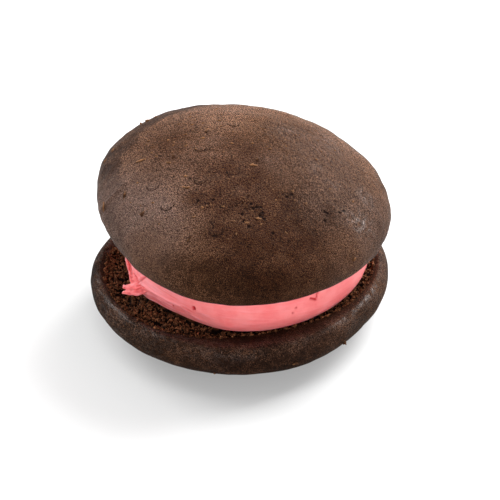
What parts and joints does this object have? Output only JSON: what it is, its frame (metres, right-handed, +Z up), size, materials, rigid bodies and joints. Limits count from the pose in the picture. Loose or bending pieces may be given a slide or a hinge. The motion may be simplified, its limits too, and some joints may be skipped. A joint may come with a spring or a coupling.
{
  "type": "whoopie pie",
  "caption": "Whoopie pie: round domed chocolate cakes, flat side to flat side, around a thick layer of pink cream.",
  "frame": {"origin": "middle of the pie's footprint, on the surface that it stands on", "axes": "+Z up, through the thickness of the pie; the cream's torn tongue is on the -X, -Y side; the upper cake leans down towards +X and a little towards -Y"},
  "size_m": [0.0887, 0.0914, 0.0552],
  "materials": {
    "cake_skin": "soft baked chocolate cake: dark brown satin skin, open dark crumb on the flat side",
    "pink_cream": "smooth satin whipped cream"
  },
  "bodies": {
    "root": {"cake_lower": "cake_skin", "cream": "pink_cream", "cake_upper": "cake_skin"}
  },
  "joints": []
}
